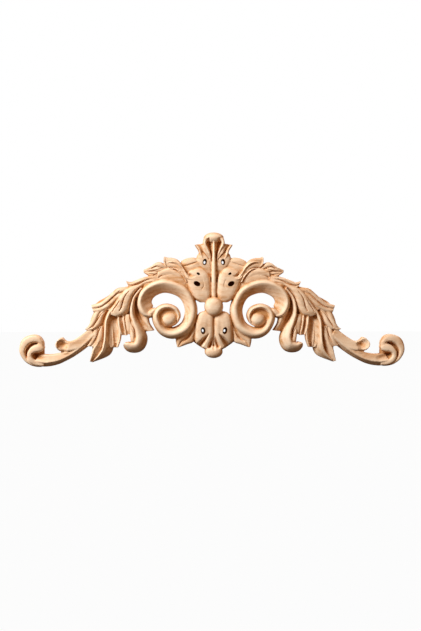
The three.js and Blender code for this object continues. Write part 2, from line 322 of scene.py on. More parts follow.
def lay_strip(first, second, heights, section):
    """A grid laid between two rows of edge points and raised to its two end sections."""
    rows = len(first) - 1
    columns = max(LEAST_COLUMNS, round(np.linalg.norm(first - second, axis=1).max() / ROW_GAP))
    shares = np.linspace(0.0, 1.0, columns + 1)
    start, end = (np.interp(shares, *np.transpose(SECTIONS[name])) for name in section)
    stroke = bmesh.new()
    bmesh.ops.create_grid(stroke, x_segments=columns, y_segments=rows, size=0.5)
    for vertex in stroke.verts:
        column = round((vertex.co.x + 0.5) * columns)
        row = round((vertex.co.y + 0.5) * rows)
        x, z = first[row] + (second[row] - first[row]) * shares[column]
        change = min(1.0, SECTION_CHANGE * row / rows)
        rise = start[column] + (end[column] - start[column]) * change
        vertex.co = (x, -heights[row] * rise, z)
    keep(stroke, stroke.faces[:])


def band(line, *section):
    """A stroke along a centre line of [x, z, width, height]; a second section is the far end's."""
    shares = even_shares(line, ROW_GAP)
    middle = smooth_line(line, shares)
    ahead = smooth_line(line, shares + STEP_AHEAD)[:, :2] - smooth_line(line, shares - STEP_AHEAD)[:, :2]
    ahead /= np.linalg.norm(ahead, axis=1)[:, None]
    across = np.stack([-ahead[:, 1], ahead[:, 0]], axis=1) * middle[:, 2:3] / 2
    lay_strip(middle[:, :2] + across, middle[:, :2] - across, middle[:, 3], (section[0], section[-1]))


def blade(first_edge, second_edge, heights, *section):
    """A stroke between two edges, each drawn from the root to the tip."""
    shares = even_shares(first_edge, ROW_GAP)
    other = even_shares(second_edge, ROW_GAP)
    count = max(len(shares), len(other))
    grid = np.linspace(0.0, 1.0, count)
    first = smooth_line(first_edge, np.interp(grid, np.linspace(0.0, 1.0, len(shares)), shares))
    second = smooth_line(second_edge, np.interp(grid, np.linspace(0.0, 1.0, len(other)), other))
    rise = smooth_line([[height] for height in heights], grid)[:, 0]
    lay_strip(first, second, rise, (section[0], section[-1]))


print("grid rows lie", ROW_GAP, "mm apart")

# %% [markdown]
# ## Bosses and boards
#
# A boss is a button, such as the ball in a scroll's eye or the middle of the carving. It is a sphere
# whose front half becomes a dome on an upright wall, and whose other half is pushed out behind the
# board. Its numbers are its place, its half width, its half height on the drawing, how far it stands
# out, how high its wall is, and how flat its dome is. A board is low flat ground between the leaves. It
# is a circle drawn out to a rounded outline, and it closes the gaps that leaves alone would leave.

# %% Bosses and boards
MERIDIANS = 48
PARALLELS = 32
BACK_HALF = -0.01
POLE = 0.05
GROUND = 6.5
BOARD_GAP = 3.0


def boss(x, z, half_wide, half_tall, height, wall, flatness=2.0):
    """A rounded button: an upright wall, then a dome, flatter where flatness is above 2."""
    ball = bmesh.new()
    bmesh.ops.create_uvsphere(ball, u_segments=MERIDIANS, v_segments=PARALLELS, radius=1.0)
    for vertex in ball.verts:
        right, up, out = vertex.co
        girth = math.hypot(right, up)
        if out < BACK_HALF and girth < POLE:
            vertex.co = (x, BEHIND, z)
        elif out < BACK_HALF:
            vertex.co = (x + right / girth * half_wide, BEHIND, z + up / girth * half_tall)
        else:
            dome = math.sqrt(1.0 - min(girth, 1.0)**flatness)
            vertex.co = (x + right * half_wide, -(wall + (height - wall) * dome), z + up * half_tall)
    ball.to_mesh(stroke_mesh)
    carving.from_mesh(stroke_mesh)
    ball.free()


def board(outline, height=GROUND):
    """Low flat ground between the leaves, cut to a rounded outline."""
    closed = outline + outline[:1]
    edge = smooth_line(closed, even_shares(closed, BOARD_GAP))[:-1]
    disc = bmesh.new()
    bmesh.ops.create_circle(disc, cap_ends=True, segments=len(edge), radius=1.0)
    disc.verts.ensure_lookup_table()
    for vertex, (x, z) in zip(disc.verts, edge):
        vertex.co = (x, -height, z)
    keep(disc, disc.faces[:])


print("boards stand", GROUND, "mm high where nothing else is said")

# %% [markdown]
# ## The scroll
#
# The C-scroll is one band that starts in a hook, climbs over the top, comes down beside the centre boss
# and winds round a ball. Its ridge runs close to the outer edge, with a long slope down to the opening,
# and becomes a roll in the winding. A bevelled curve could make it too, but its section would stay the
# same all the way. A small nub ends the hook, where it touches the winding.

# %% Scroll
band([[-95, -11, 12, 16], [-103, -6.5, 22.5, 19], [-108.3, 8, 23.5, 20], [-100, 23.5, 22.5, 21],
      [-78.5, 32.2, 21.5, 21], [-55, 26.8, 20.5, 21], [-41.3, 14, 19.5, 21], [-35, -7, 19.8, 20.5],
      [-42.3, -30.3, 20, 20], [-62, -41, 18.5, 20], [-79, -36, 16.5, 19.5], [-88.5, -18, 15.5, 20],
      [-84.5, -5.8, 13, 20], [-73.5, -0.8, 11.5, 20], [-61, -4.2, 10, 19], [-55.2, -14, 8, 17.5],
      [-58, -24, 5, 15]], "crest", "coil")
band([[-110, -14, 4, 13], [-105, -13, 10, 15.5], [-98.5, -10.5, 13.5, 17], [-93, -6, 11, 17],
      [-90.2, -2.5, 4, 15]], "round")
# The floor of the eye, and the ball that lies in it.
boss(-69.5, -17, 16, 14.5, 14, 12.5)
boss(-69, -19.6, 11.8, 11, 20.5, 10, 2.4)
print("scroll:", len(carving.verts), "points so far")

# %% [markdown]
# ## The tail
#
# The tail leaves the leaves as a plain band with a wide light face and a bevel under it. At its end it
# curls over into a thick lobe, and an outer roll wraps round the lobe with a deep groove between them.
# Half-way a bud branches off, cut away at its end by one scoop of a gouge. The tail and the bud are
# blades, because their two edges run apart, and the two rolls are bands, because they keep their shape.
# Small bosses fill the corners between them, as wood that the carver left standing.

# %% Tail
blade([[-183, -50], [-192.2, -59.5], [-200, -66], [-208, -71.8], [-218, -78.4], [-228, -83.8],
       [-238.8, -88.9], [-250, -92], [-261, -93.2], [-269, -92.3], [-277, -89.5]],
      [[-190, -34], [-202, -46], [-213, -57], [-224, -65.5], [-236, -70.8], [-246, -73], [-255, -73.8],
       [-263, -73.5], [-271, -75]],
      [13, 13, 13, 13, 13.5, 14, 14], "bevel")
blade([[-188, -48.5], [-199, -58.5], [-207.6, -65.2], [-213.5, -67.6], [-223, -69.8], [-234.9, -69.5],
       [-241, -66.5], [-244, -61]],
      [[-191, -32], [-198, -38.5], [-208, -46], [-217.5, -52], [-225.5, -53.8], [-230.2, -51.3],
       [-233.8, -47.6], [-238.5, -49.2], [-242.5, -53.5], [-244.2, -57.5]],
      [12.2, 12.4, 12.8, 13.6, 14.8, 17, 18.5], "plane", "face")
# The ground under the volute, and the filled corner between its two rolls.
boss(-279, -69.5, 17, 17, 9, 5)
boss(-267, -58.5, 5, 6, 15.5, 12)
band([[-266, -92, 3, 8], [-274, -90.6, 5, 11], [-282.5, -87, 6.5, 13.5], [-290.6, -80.4, 6.4, 15.5],
      [-294.9, -68, 9.8, 17], [-290, -55.4, 13.6, 17.5], [-280.4, -49.9, 13, 17.5],
      [-272, -50.4, 11.4, 17], [-266.6, -54.8, 8, 16], [-264.2, -58, 5, 14.5]], "roll")
band([[-262, -88.5, 8, 12], [-273, -87.4, 9, 14], [-280.6, -83, 8.8, 16], [-283.7, -76, 8.4, 16.8],
      [-281.6, -69.6, 9.6, 17.5], [-276.4, -65.6, 12, 17.5], [-269.6, -64, 13.6, 17],
      [-265.4, -64.8, 11.5, 16], [-262.6, -66, 7, 14.5]], "roll")
# The filled corner under the bud.
boss(-229, -71, 7, 4, 12.8, 10)
print("tail:", len(carving.verts), "points so far")

# %% [markdown]
# ## The stalk beside the scroll
#
# A stalk drops beside the scroll, swells and curls into a bud. It is a band with a second section, so
# that the even roll of the stalk turns into a bud that rises to one side. A thin leaflet lies along it,
# and a small leaf lies between it and the scroll, hollow along the stalk and round on its other side.

# %% Stalk
band([[-112, 29, 4, 17], [-122, 16, 6.5, 17.5], [-126, 2, 8, 18], [-126, -11, 9.5, 18],
      [-121.5, -24, 12, 18], [-116, -36, 15, 18.5], [-112.8, -49, 20, 19], [-117, -60.5, 20, 19],
      [-128, -63, 17.5, 17.5], [-135.5, -60, 12.5, 17], [-139, -57.5, 5, 15]], "round", "swell")
band([[-128, -24, 5, 14], [-126.5, -38, 7.5, 15.5], [-125.5, -48, 8, 16], [-124, -57, 8, 15.5]], "roll")
blade([[-118, 22], [-123, 6], [-122.5, -8], [-118, -20], [-112, -30], [-108, -39]],
      [[-113, 20], [-108, 2], [-103, -12], [-101, -17], [-99, -26], [-92, -37]],
      [12, 13, 14, 14, 13, 12], "lap")

# %% [markdown]
# ## The spray of leaflets
#
# Left of the stalk a spray of leaflets fans out over a low ground. They could be sculpted from one
# block, but separate strokes keep their edges clean where they overlap. Boards of several heights and a
# few bosses come first, so that no gap shows between the leaflets.

# %% Ground of the spray
board([[-108, 32], [-128, 29], [-148, 26], [-165, 16], [-183, 4], [-181, -14], [-190, -31], [-184, -46],
       [-188, -58], [-185, -78], [-164, -72], [-160, -58], [-146, -56], [-143, -43], [-127, -40],
       [-104, -36], [-108, -16], [-112, 10]])
board([[-104, 40], [-131, 32], [-150, 27], [-166, 14], [-176, 5], [-181, 0], [-176, -6], [-166, -4],
       [-159, -9], [-150, -13], [-143, -14], [-133, -9], [-129, 4], [-116, 19]], height=12.0)
board([[-148, -8], [-146, -34], [-134, -38], [-125, -40], [-124, -20], [-128, -4]], height=8.0)
board([[-170, 4], [-186, -10], [-192, -28], [-186, -36], [-188, -56], [-174, -62], [-168, -40],
       [-163, -12]], height=9.0)
boss(-93, 42.5, 10, 9, 14.5, 10)
boss(-104, 34.5, 8, 7, 14.5, 11)
boss(-43, 32.5, 7, 8, 13.5, 10)
print("ground of the spray:", len(carving.verts), "points so far")

# %% [markdown]
# ## The upper leaflets
#
# Most leaflets are two rolls parted by a narrow vein, which one section with a notch in its middle
# gives. The upper leaflets lie higher than the ones below them, which makes the deep shade under their
# edges. The broad leaf next to the stalk is a single roll, and gets its veins later as fine cuts.

# %% Upper leaflets
blade([[-93, 48], [-104, 46.6], [-112, 44.4], [-122, 40.5], [-129, 38], [-136.5, 40]],
      [[-92, 38], [-104, 35.5], [-112, 32], [-120, 28], [-127, 26.5], [-132, 31]],
      [15, 15.5, 15.5, 15.5, 14.5], "pair")
blade([[-128, 31], [-137, 26], [-145.5, 17], [-153, 7], [-159, -2], [-161.8, -7.5], [-160, -12.3]],
      [[-106, 35], [-119, 26], [-125.5, 16], [-128.6, 6], [-131, -1], [-134.5, -7.5], [-140, -12.7],
       [-150, -15.8]], [16, 17.5, 18.5, 18.5, 18, 17.5, 15.5], "roll")
blade([[-131, 30], [-148, 29], [-158, 21.5], [-168, 12.5], [-176, 6.5], [-184, 4], [-190, 2.5]],
      [[-134, 19], [-149, 10], [-158, 1], [-166, -4.5], [-173, -8], [-179, -9.5], [-186, -9.5]],
      [14, 15.5, 15.5, 14.5, 13], "pair")
blade([[-176, -2], [-185, -9], [-189, -18], [-192, -26], [-196, -32], [-200, -34.5]],
      [[-164, -2], [-170, -15], [-173, -25], [-179, -32], [-186, -36], [-197, -36.5]],
      [12.5, 13.5, 14, 14, 12.5], "pair")
blade([[-186, -32], [-189, -45], [-192, -53], [-197, -61]],
      [[-171, -30], [-171, -45], [-174, -54], [-184, -62.5]], [11.5, 12.5, 12.5, 11], "pair")
print("upper leaflets:", len(carving.verts), "points so far")

# %% [markdown]
# ## The lower leaflets
#
# A long rib runs down through the spray to a hanging leaf. On its left the leaf falls from the outer
# edge towards the rib, and on its right it slopes down from the rib, so each side is a blade with its
# own section. Right of it hang three leaflets: one that rises to a rim, one hollow and one round.

# %% Lower leaflets
band([[-147, 12, 5, 13], [-154, 1.5, 6.5, 15], [-162, -11, 7.5, 16], [-166.5, -24, 7.5, 16.5],
      [-167.5, -40, 6.8, 16.5], [-168.6, -54, 6, 16], [-172, -67, 5, 13], [-178.6, -76.4, 4.4, 10],
      [-186, -83.4, 3, 7.5]], "round")
blade([[-176, -40], [-181, -55], [-187, -64], [-189.6, -74], [-192.4, -85]],
      [[-166, -42], [-168, -56], [-171.5, -68], [-179, -77.5], [-189, -86]],
      [11, 13, 13, 12, 9.5], "fall")
blade([[-168, -42], [-168.5, -54], [-171, -66], [-178, -76.5], [-189, -86]],
      [[-160, -42], [-157, -56], [-156.3, -66], [-164, -77], [-189, -87]], [14, 14.5, 12, 9, 7.5], "slope")
blade([[-162, -12], [-164.5, -26], [-165, -42], [-163.5, -54], [-159.5, -63.5]],
      [[-147, -12], [-146, -26], [-143.5, -39], [-144.2, -51], [-148.5, -63.5]],
      [13, 14, 14, 13.5, 12], "rise")
blade([[-150, -12], [-149, -22], [-147.8, -32], [-146, -39], [-143.6, -44]],
      [[-138.4, -12], [-137.4, -22], [-136, -32], [-134.4, -39], [-134.2, -44.6]],
      [13.5, 15, 15, 14.5, 13], "cup")
blade([[-138.8, -12], [-137.6, -22], [-136.2, -32], [-135, -38.5], [-133.6, -43]],
      [[-127.3, -12], [-127, -24], [-126.6, -34], [-127.2, -39], [-129, -42.6]],
      [13, 14.5, 14.5, 14, 12.5], "roll")
print("lower leaflets:", len(carving.verts), "points so far")

# %% [markdown]
# ## The leaves over the scroll
#
# Four leaves lie over the scroll: a long one that follows its curve, a small one with a sharp tip, a
# broad one that folds inwards, and a low one behind it. The long leaf and the small one are two blades
# each that overlap, because their two parts lie at slightly different heights.

# %% Ground and leaves of the crown
board([[-98, 34], [-94, 58], [-78, 66], [-54, 68], [-24, 70], [-19, 58], [-22, 16], [-31, 13], [-38, 20],
       [-46, 30], [-62, 36]])
board([[-101, 52], [-90, 62], [-76, 66], [-55, 68], [-46, 60], [-40, 42], [-46, 31], [-60, 37],
       [-85, 42]], height=12.0)
board([[-44, 66], [-36, 70], [-24, 70], [-20, 58], [-38, 52]], height=11.0)
blade([[-42.5, 36], [-47.5, 45.5], [-56.5, 55.5], [-69, 59.5], [-79, 58], [-86.5, 54.5]],
      [[-46, 33], [-55, 43], [-62, 47], [-71, 49], [-80, 48.5], [-87.5, 44.5]],
      [14, 15, 15.4, 15.6, 15.6, 15], "roll")
blade([[-43, 40], [-52, 48], [-61, 51.6], [-71, 53.4], [-80, 52.6], [-86, 48.6]],
      [[-46, 29], [-56, 35.5], [-64, 38], [-71, 39.5], [-80, 40.5], [-87.5, 40.5]],
      [14, 15, 15.2, 15.2, 15, 14], "roll")
blade([[-72, 61], [-81, 68.5], [-89, 68.5], [-98, 62.5], [-109.5, 57]],
      [[-78, 52], [-86, 52.5], [-94, 54.5], [-100, 54.5], [-109, 54.5]], [13, 15, 15, 14, 12], "pair")
blade([[-78, 54], [-86, 53.5], [-93, 55], [-101, 54], [-109, 55]],
      [[-80, 43], [-90, 43.5], [-97, 45.5], [-103, 49], [-109, 53]], [12, 14, 14, 12], "pair")
blade([[-40, 46], [-45, 57], [-50.5, 67], [-57, 73.5], [-65, 75.8], [-72, 76.4], [-76.5, 78]],
      [[-42, 36], [-49, 50], [-57, 58], [-65, 60.5], [-72, 60.5], [-76, 63.5]],
      [15.5, 16, 16, 15.2, 14], "face")
print("crown leaves:", len(carving.verts), "points so far")

# %% [markdown]
# ## The rims and the thick lobe
#
# Thin raised rims run along the broad leaf and across its tip, and a short one curls at its root. They
# are narrow bands of their own, because a rim inside a section would grow wider and narrower with the
# leaf. Behind the leaf lies the low one, and next to the stem stands a thick lobe, which later gets two
# drilled eyes.

# %% Rims and lobe of the crown
band([[-76.5, 77.5, 1.8, 14], [-76.8, 71, 2.6, 16], [-74.6, 64.5, 2.8, 16], [-70, 60.8, 2.2, 14]], "round")
band([[-72, 59.2, 1.6, 14], [-63, 59.2, 2, 16], [-56.5, 56.6, 2.2, 17], [-51.4, 51.8, 2.2, 17.6],
      [-46.2, 45.4, 2.2, 18], [-42.6, 38, 2, 17.5]], "round")
band([[-72, 68.5, 2, 15], [-64, 69.5, 2.8, 17], [-56, 66.8, 3, 18], [-49, 60.4, 3, 18.5],
      [-44, 52.4, 3, 18.5], [-39.5, 46, 2.6, 18]], "round")
band([[-45.5, 52, 2, 16], [-42, 45.5, 5, 18], [-37, 42.5, 4, 19], [-31.5, 43.5, 2, 18.5]], "round")
blade([[-18, 65], [-28, 75.5], [-38, 76], [-45, 74], [-51, 70.5]],
      [[-18, 54], [-28, 53], [-35, 51], [-42, 49]], [12, 13.5, 14, 13], "roll")
blade([[-36, 57], [-42, 51.5], [-43.3, 43], [-40, 31], [-36, 22], [-29, 11.5], [-21, 6.5]],
      [[-30, 60], [-19, 60.5], [-11.5, 55], [-6.5, 46], [-4.2, 28], [-5, 15], [-9.5, 7]],
      [13, 17, 18.5, 18.5, 18.5, 18, 15.5], "roll")
print("rims and lobe:", len(carving.verts), "points so far")

# %% [markdown]
# ## The palmette
#
# The palmette stands on a stem over the centre boss: a curled tip, two pointed lobes and two small round
# lobes with an eye each. A rim leads from each side of the tip down to the stem, and leaves room for a
# deep hollow, which is cut later. The pointed lobe has a hollow and a ridge in one section.

# %% Palmette
board([[0, 10], [-12, 13], [-18, 44], [-21, 62], [-20, 76], [-22, 90], [-14, 92], [-12, 104], [0, 108]])
board([[0, 45], [-7, 58], [-11, 80], [-13, 99], [0, 103]], height=11.0)
blade([[-6, 44], [-15, 55], [-24, 64], [-27.5, 72], [-25, 82]],
      [[-2, 44], [-2.5, 56], [-2.5, 66], [-2.5, 75], [-2.5, 84]], [9, 12, 14, 14.5, 13.5], "roll")
blade([[-9, 64], [-18, 72], [-22.5, 81], [-24, 87], [-29.8, 96.3]],
      [[-3, 75], [-7, 83], [-10.5, 91], [-13.5, 96], [-17, 98]], [14, 15, 15.5, 15, 13], "lobe")
blade([[-4.6, 66], [-7.6, 78], [-11.6, 88], [-16.8, 98], [-15.4, 107]],
      [[-2.6, 66], [-4.4, 78], [-7.6, 88], [-11.8, 98], [-9.4, 106]], [11, 14, 16.4, 17.5, 17], "roll")
print("palmette:", len(carving.verts), "points so far")

# %% [markdown]
# ## The shell
#
# Under the centre boss hangs a shell with a round top, and a side leaf at each hand. Its ribs fan out
# at the bottom. They are left by the hollows between them, as a carver makes them, so here the shell is
# plain and the hollows come with the fine cuts.

# %% Shell
board([[0, -10], [-18, -14], [-25, -28], [-33, -36], [-33, -52], [-22, -62], [-13, -67], [0, -72]])
blade([[-12, -6], [-23, -10.5], [-28, -24], [-29, -38], [-29.5, -52], [-25, -59]],
      [[0.2, -8], [0.2, -18], [0.2, -28], [0.2, -40], [0.2, -54], [-6, -64]],
      [14, 17.5, 18.5, 17.5, 15.5, 13], "roll")
blade([[-24, -46], [-25, -55], [-19, -62.5]],
      [[0.2, -46], [0.2, -60], [0.2, -70]], [14.5, 14, 12.5], "roll")
blade([[-32, -26], [-44, -38], [-54, -45], [-59, -51], [-57, -63]],
      [[-26, -28], [-30, -44], [-32, -55], [-42, -59], [-54, -63.5]], [10, 12.5, 12.5, 12.5, 11], "pair")
print("shell:", len(carving.verts), "points so far")

# %% [markdown]
# ## The right half and the middle
#
# The strokes so far are the left half. `bmesh.ops.mirror` makes the right half of them. A Mirror
# modifier would do so too, but with the operator the pieces on the middle line can be added once,
# afterwards: the stem, the curled tip, the centre boss and the drop.

# %% Mirror and middle
bmesh.ops.mirror(carving, geom=carving.verts[:] + carving.edges[:] + carving.faces[:], merge_dist=-1.0,
                 axis="X")
band([[0, 8, 8.2, 17], [0, 40, 7.2, 18], [0, 70, 5.8, 18], [0, 88, 4.2, 18], [0, 103, 3.4, 17]], "roll")
boss(0, 107.2, 15.5, 8.3, 19, 10)
boss(0, 0, 14.4, 14.8, 24, 14, 2.6)
boss(0, -70.2, 14, 10.2, 16.5, 7, 2.2)
bmesh.ops.scale(carving, vec=(MM_ACROSS, MM_DEEP, MM_ACROSS), verts=carving.verts)
bmesh.ops.recalc_face_normals(carving, faces=carving.faces)
print("all strokes:", len(carving.verts), "points")

# %% [markdown]
# ## Grain
#
# The grain is a node group, because the bare wood and the darker wood of the eyes both use it. It reads
# Object coordinates, so it runs through the board as in solid wood: growth rings are shells round an axis
# far behind the board, which a carved slope shows as fine contour lines, and pores are short strokes
# along the board. An image of wood could be laid on too, but it would smear on the steep walls.

# %% Grain helpers


def noise(nodes, scale, detail, roughness=0.5):
    """A Noise Texture node."""
    node = nodes.new("ShaderNodeTexNoise")
    node.inputs["Scale"].default_value = scale
    node.inputs["Detail"].default_value = detail
    node.inputs["Roughness"].default_value = roughness
    return node


def number(nodes, links, operation, first, second):
    """A Math node fed by sockets or plain numbers."""
    node = nodes.new("ShaderNodeMath")
    node.operation = operation
    for socket, value in zip(node.inputs, (first, second)):
        if isinstance(value, (int, float)):
            socket.default_value = value
        else:
            links.new(value, socket)
    return node.outputs["Value"]


def stretched(nodes, links, place, scale, location=(0.0, 0.0, 0.0)):
    """Coordinates that a Mapping node stretches and moves."""
    node = nodes.new("ShaderNodeMapping")
    node.inputs["Location"].default_value = location
    node.inputs["Scale"].default_value = scale
    links.new(place, node.inputs["Vector"])
    return node.outputs["Vector"]


print("helpers:", noise.__name__, number.__name__, stretched.__name__)

# %% Grain group
AXIS_SHIFT = (0.0, -0.12, 0.06)  # Puts the rings' axis 12 cm behind the back and 6 cm down, unswayed.
RING_STRETCH = (0.12, 1.0, 1.0)
SWAY_SCALE = 9.0
SWAY_WIDTH = 0.035
PORE_STRETCH = (60.0, 1100.0, 1100.0)
CLOUD_SCALE = 62.0
CLOUD_STRETCH = (0.5, 1.0, 1.0)


def grain_group():
    """Three masks of a plain wood: growth rings that sway, pores and soft clouds."""
    group = bpy.data.node_groups.new("wood_grain", "ShaderNodeTree")
    group.interface.new_socket("Ring spacing", in_out="INPUT", socket_type="NodeSocketFloat")
    for mask in ("Rings", "Pores", "Clouds"):
        group.interface.new_socket(mask, in_out="OUTPUT", socket_type="NodeSocketFloat")
    nodes = group.nodes
    links = group.links
    taken = nodes.new("NodeGroupInput")
    given = nodes.new("NodeGroupOutput")
    place = nodes.new("ShaderNodeTexCoord").outputs["Object"]

    sway = noise(nodes, SWAY_SCALE, 2.0)
    links.new(place, sway.inputs["Vector"])
    shift = nodes.new("ShaderNodeVectorMath")
    shift.operation = "SCALE"
    shift.inputs["Scale"].default_value = SWAY_WIDTH
    links.new(sway.outputs["Color"], shift.inputs[0])
    swayed = nodes.new("ShaderNodeVectorMath")
    swayed.operation = "ADD"
    links.new(place, swayed.inputs[0])
    links.new(shift.outputs["Vector"], swayed.inputs[1])
    from_axis = nodes.new("ShaderNodeVectorMath")
    from_axis.operation = "LENGTH"
    around = stretched(nodes, links, swayed.outputs["Vector"], RING_STRETCH, AXIS_SHIFT)
    links.new(around, from_axis.inputs[0])
    rings = number(nodes, links, "DIVIDE", from_axis.outputs["Value"], taken.outputs["Ring spacing"])
    links.new(number(nodes, links, "PINGPONG", rings, 1.0), given.inputs["Rings"])

    pores = noise(nodes, 1.0, 3.0, 0.6)
    links.new(stretched(nodes, links, place, PORE_STRETCH), pores.inputs["Vector"])
    links.new(pores.outputs["Fac"], given.inputs["Pores"])

    clouds = noise(nodes, CLOUD_SCALE, 5.0, 0.68)
    links.new(stretched(nodes, links, place, CLOUD_STRETCH), clouds.inputs["Vector"])
    links.new(clouds.outputs["Fac"], given.inputs["Clouds"])
    return group


grain = grain_group()
print("grain group:", len(grain.nodes), "nodes")

# %% [markdown]
# ## The wood
#
# The colour starts from a pale tan and goes through a warm brown to a deep orange brown as the cuts get
# deeper, which paints shade into the hollows. Rings, pores and soft clouds move it a little. Sanded bare
# wood has a dull sheen, so the roughness is middling and changes with the pores, and a shallow bump gives
# the last marks of the tools. The walls of the drilled eyes are the same wood, darkened with painted shade.

# %% Colours of the wood
# Deeper cuts take the brown and dark stops, which paint shade into them.
PALE = (0.87, 0.66, 0.47)
TAN = (0.78, 0.52, 0.33)
BROWN = (0.58, 0.27, 0.095)
DARK = (0.235, 0.080, 0.020)
COLOUR_STOPS = [[0.0, PALE], [0.27, TAN], [0.50, BROWN], [0.9, DARK]]


def colour_ramp(nodes, stops):
    """A Color Ramp node with [place, colour] stops."""
    ramp = nodes.new("ShaderNodeValToRGB")
    while len(ramp.color_ramp.elements) < len(stops):
        ramp.color_ramp.elements.new(0.5)
    for element, (place, colour) in zip(ramp.color_ramp.elements, stops):
        element.position = place
        element.color = (*colour, 1.0)
    return ramp


print("colour stops:", len(COLOUR_STOPS))

# %% Wood material
RING_SPACING = 0.0032
# How many mm of depth each mask of the grain can shift the colour, from end to end.
PUSHES = {"Rings": 1.5, "Clouds": 9.0, "Pores": 6.0}
DEPTH_SPAN = 11.5
PORE_ROUGHNESS = 0.25
LEAST_ROUGHNESS = 0.52
MARK_SCALE = 160.0
PORE_RELIEF = 0.35
MARK_STRENGTH = 0.35
MARK_DEPTH = 0.0008


def carved_wood(name, shade, sheen):
    """Wood painted darker, as shade, where the cuts are deeper; shade is a depth added all over."""
    material = bpy.data.materials.new(name)
    material.use_nodes = True
    nodes = material.node_tree.nodes
    links = material.node_tree.links
    shader = nodes["Principled BSDF"]
    shader.inputs["Specular IOR Level"].default_value = sheen
    grain_node = nodes.new("ShaderNodeGroup")
    grain_node.node_tree = grain
    grain_node.inputs["Ring spacing"].default_value = RING_SPACING
    pores = grain_node.outputs["Pores"]

    # The attribute read here paints shade: the deeper a point lies in a cut, the browner it is.
    depth = nodes.new("ShaderNodeAttribute")
    depth.attribute_name = "cut_shade"
    level = number(nodes, links, "ADD", depth.outputs["Fac"], shade)
    for mask, push in PUSHES.items():
        centred = number(nodes, links, "SUBTRACT", grain_node.outputs[mask], 0.5)
        level = number(nodes, links, "ADD", level, number(nodes, links, "MULTIPLY", centred, push))
    ramp = colour_ramp(nodes, COLOUR_STOPS)
    links.new(number(nodes, links, "DIVIDE", level, DEPTH_SPAN), ramp.inputs["Fac"])
    links.new(ramp.outputs["Color"], shader.inputs["Base Color"])

    pore_roughness = number(nodes, links, "MULTIPLY", pores, PORE_ROUGHNESS)
    links.new(number(nodes, links, "ADD", pore_roughness, LEAST_ROUGHNESS), shader.inputs["Roughness"])

    marks = noise(nodes, MARK_SCALE, 2.0)
    links.new(nodes.new("ShaderNodeTexCoord").outputs["Object"], marks.inputs["Vector"])
    pore_relief = number(nodes, links, "MULTIPLY", pores, PORE_RELIEF)
    bump = nodes.new("ShaderNodeBump")
    bump.inputs["Strength"].default_value = MARK_STRENGTH
    bump.inputs["Distance"].default_value = MARK_DEPTH
    links.new(number(nodes, links, "ADD", marks.outputs["Fac"], pore_relief), bump.inputs["Height"])
    links.new(bump.outputs["Normal"], shader.inputs["Normal"])
    return material


wood = carved_wood("bare_carved_wood", shade=3.2, sheen=0.18)
# The eye walls get a large added depth, which paints them dark with shade.
eye_wood = carved_wood("painted_shade_eye_wood", shade=15.0, sheen=0.0)
WOOD_INDEX, EYE_INDEX = 0, 1
print("woods:", wood.name, eye_wood.name)

# %% [markdown]
# ## From strokes to one piece of wood
#
# The strokes overlap as separate solids. A voxel remesh turns them into one skin, as a plaster cast of
# them would, and a light smoothing rounds the edges as sandpaper does. Boolean modifiers could join the
# strokes too, but they would leave every crease knife-sharp.

# %% One skin
VOXEL = 0.65 * MM_ACROSS
SANDING_SHARE = 0.5
SANDING_PASSES = 6


def mesh_object(name, shape, index):
    """Make an object of a bmesh; all its faces take the wood with that index."""
    mesh = bpy.data.meshes.new(name)
    for face in shape.faces:
        face.material_index = index
    shape.to_mesh(mesh)
    shape.free()
    for material in (wood, eye_wood):
        mesh.materials.append(material)
    thing = bpy.data.objects.new(name, mesh)
    scene.collection.objects.link(thing)
    return thing


def bake_modifiers(thing):
    """Replace a piece's mesh by the mesh that its modifiers make."""
    made = bpy.data.meshes.new_from_object(thing.evaluated_get(bpy.context.evaluated_depsgraph_get()))
    thing.modifiers.clear()
    old = thing.data
    thing.data = made
    bpy.data.meshes.remove(old)


applique = mesh_object("applique", carving, WOOD_INDEX)
skin = applique.modifiers.new("one_skin", "REMESH")
skin.mode = "VOXEL"
skin.voxel_size = VOXEL
sanding = applique.modifiers.new("sanding", "SMOOTH")
sanding.factor = SANDING_SHARE
sanding.iterations = SANDING_PASSES
bake_modifiers(applique)
print("one skin:", len(applique.data.polygons), "faces")

# %% [markdown]
# ## Veins, rims and scoops
#
# The fine cuts are narrower than a stroke, so they are pressed into the skin. Each is a line of
# [x, z, width, depth]. A cut could also be a Boolean with a thin tool, but moving the points that are
# there keeps the skin whole, and lets a cut fade out at its ends.

